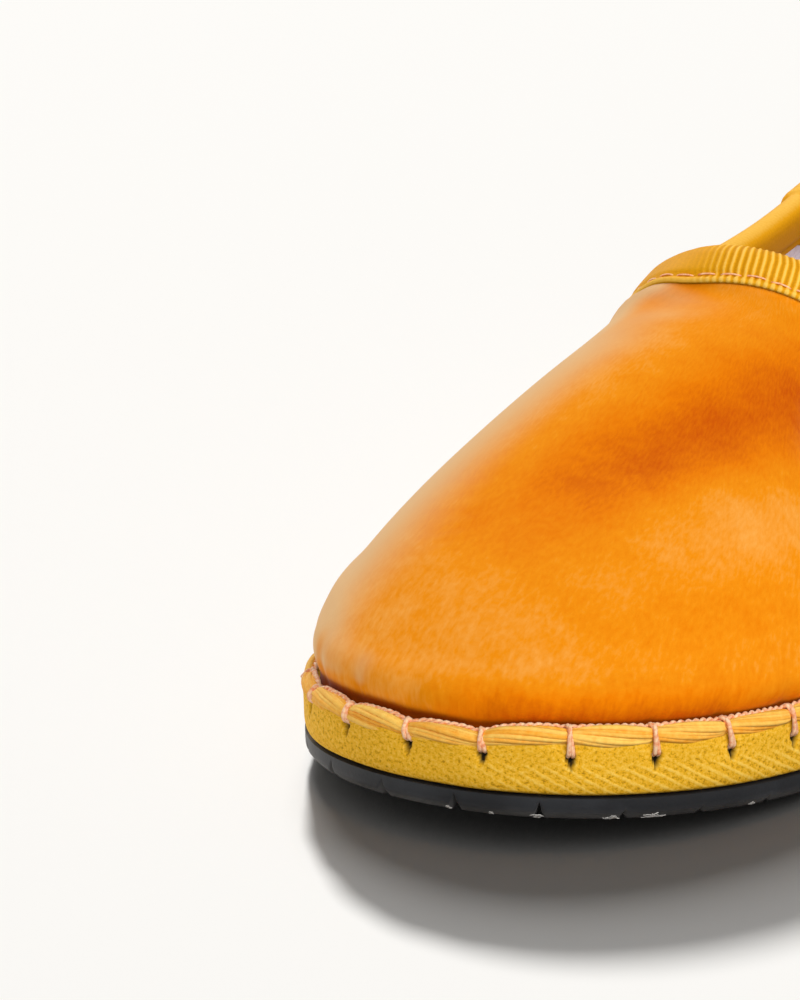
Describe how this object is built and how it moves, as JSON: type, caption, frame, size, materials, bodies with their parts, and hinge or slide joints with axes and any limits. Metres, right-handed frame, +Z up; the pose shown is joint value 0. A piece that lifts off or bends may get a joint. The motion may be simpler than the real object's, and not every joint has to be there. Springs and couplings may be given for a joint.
{
  "type": "ballet flat",
  "caption": "Soft left ballet flat: hollow velvet upper with a ribbon-bound open collar, on a tape-wrapped midsole and a thin rubber outsole; worn on the foot.",
  "frame": {"origin": "centre of the sole's box, on the floor it stands on", "axes": "+Y from toe to heel, +Z up, +X towards the outer (little toe) side"},
  "size_m": [0.087, 0.25, 0.0617],
  "materials": {
    "velvet": "short orange velvet pile",
    "ribbon": "ribbed golden ribbon",
    "tape": "golden twill tape",
    "thread": "salmon sewing thread",
    "rubber": "matte black tread rubber",
    "lining": "plain lilac-grey cotton"
  },
  "bodies": {
    "root": {"outsole": "rubber", "midsole": "tape", "insole": "lining", "upper": "velvet", "collar_binding": "ribbon"}
  },
  "joints": []
}
